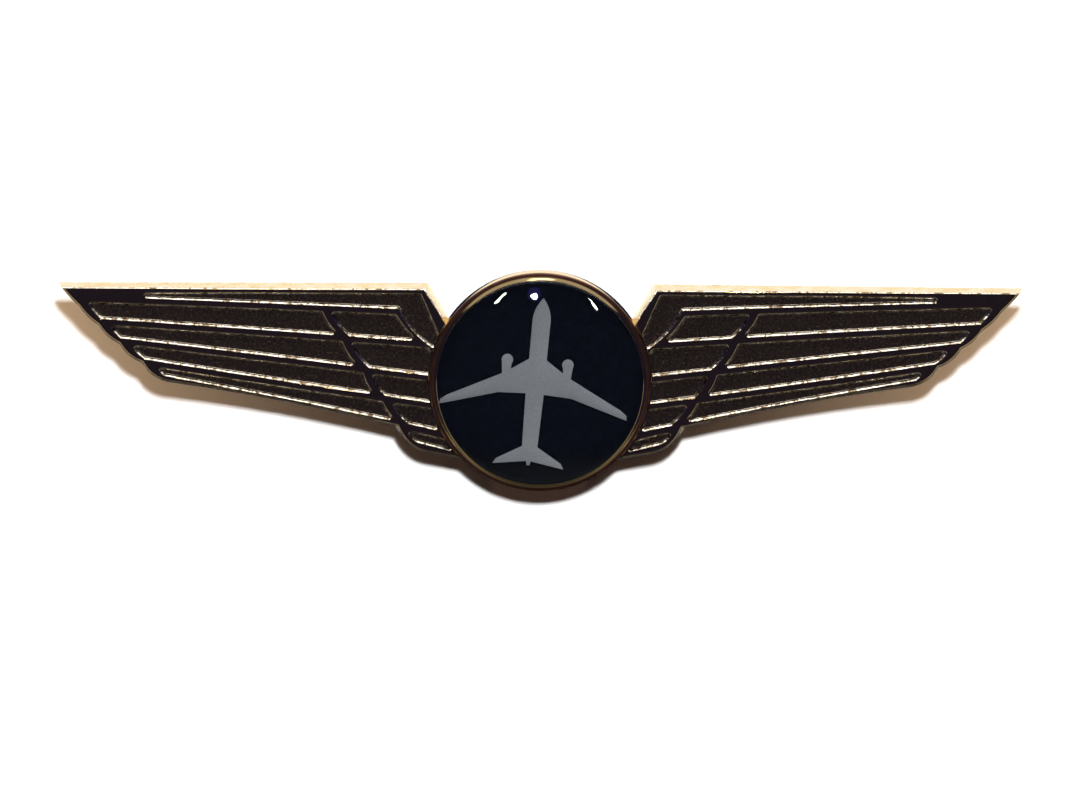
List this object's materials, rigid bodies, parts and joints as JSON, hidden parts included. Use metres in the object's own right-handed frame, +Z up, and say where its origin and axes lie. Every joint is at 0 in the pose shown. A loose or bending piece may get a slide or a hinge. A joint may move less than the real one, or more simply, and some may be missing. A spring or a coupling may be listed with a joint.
{
  "type": "pilot wings pin",
  "caption": "Gold feathered wings with a domed black emblem and silver airliner, worn on cloth by nail posts and spring clutches.",
  "frame": {"origin": "on the flat back of the wings, on the centre post's axis, which is also the axis of the round boss", "axes": "+Z up as worn, +X to the onlooker's right along the span, face towards -Y, posts along +Y"},
  "size_m": [0.0762, 0.0104, 0.0176],
  "materials": {
    "gilt_casting": "gold-plated, polished on the raised borders and ribs, sandblasted in the cells",
    "black_enamel": "gloss black",
    "silver_print": "flat silver-grey",
    "clear_dome": "clear, glossy",
    "gilt_post": "plated, bright",
    "clutch_brass": "pressed sheet, bright",
    "spring_steel": "drawn wire"
  },
  "bodies": {
    "root": {"wing_plate": "gilt_casting", "emblem_disc": "black_enamel", "airliner": "silver_print", "emblem_dome": "clear_dome", "post_left": "gilt_post", "post_centre": "gilt_post", "post_right": "gilt_post"},
    "clutch_left": {"clutch_base_left": "clutch_brass", "clutch_cover_left": "clutch_brass", "clutch_spring_left": "spring_steel"},
    "outer_jaw_left": {"outer_jaw_left": "clutch_brass"},
    "inner_jaw_left": {"inner_jaw_left": "clutch_brass"},
    "clutch_centre": {"clutch_base_centre": "clutch_brass", "clutch_cover_centre": "clutch_brass", "clutch_spring_centre": "spring_steel"},
    "outer_jaw_centre": {"outer_jaw_centre": "clutch_brass"},
    "inner_jaw_centre": {"inner_jaw_centre": "clutch_brass"},
    "clutch_right": {"clutch_base_right": "clutch_brass", "clutch_cover_right": "clutch_brass", "clutch_spring_right": "spring_steel"},
    "outer_jaw_right": {"outer_jaw_right": "clutch_brass"},
    "inner_jaw_right": {"inner_jaw_right": "clutch_brass"}
  },
  "joints": [
    {"name": "clutch_left_pull", "type": "slide", "parent": "root", "child": "clutch_left", "axis": [0, 1, 0], "range_m": [0, 0.008]},
    {"name": "outer_jaw_left_squeeze", "type": "slide", "parent": "clutch_left", "child": "outer_jaw_left", "axis": [-1, 0, 0], "range_m": [0, 0.0006], "stiffness_N_per_m": 1500, "deforming": ["clutch_spring_left"]},
    {"name": "inner_jaw_left_squeeze", "type": "slide", "parent": "clutch_left", "child": "inner_jaw_left", "axis": [1, 0, 0], "range_m": [0, 0.0006], "stiffness_N_per_m": 1500},
    {"name": "clutch_centre_pull", "type": "slide", "parent": "root", "child": "clutch_centre", "axis": [0, 1, 0], "range_m": [0, 0.008]},
    {"name": "outer_jaw_centre_squeeze", "type": "slide", "parent": "clutch_centre", "child": "outer_jaw_centre", "axis": [-1, 0, 0], "range_m": [0, 0.0006], "stiffness_N_per_m": 1500, "deforming": ["clutch_spring_centre"]},
    {"name": "inner_jaw_centre_squeeze", "type": "slide", "parent": "clutch_centre", "child": "inner_jaw_centre", "axis": [1, 0, 0], "range_m": [0, 0.0006], "stiffness_N_per_m": 1500},
    {"name": "clutch_right_pull", "type": "slide", "parent": "root", "child": "clutch_right", "axis": [0, 1, 0], "range_m": [0, 0.008]},
    {"name": "outer_jaw_right_squeeze", "type": "slide", "parent": "clutch_right", "child": "outer_jaw_right", "axis": [-1, 0, 0], "range_m": [0, 0.0006], "stiffness_N_per_m": 1500, "deforming": ["clutch_spring_right"]},
    {"name": "inner_jaw_right_squeeze", "type": "slide", "parent": "clutch_right", "child": "inner_jaw_right", "axis": [1, 0, 0], "range_m": [0, 0.0006], "stiffness_N_per_m": 1500}
  ],
  "couplings": [
    {"joint": "inner_jaw_left_squeeze", "follows": "outer_jaw_left_squeeze", "ratio": 1},
    {"joint": "inner_jaw_centre_squeeze", "follows": "outer_jaw_centre_squeeze", "ratio": 1},
    {"joint": "inner_jaw_right_squeeze", "follows": "outer_jaw_right_squeeze", "ratio": 1}
  ]
}
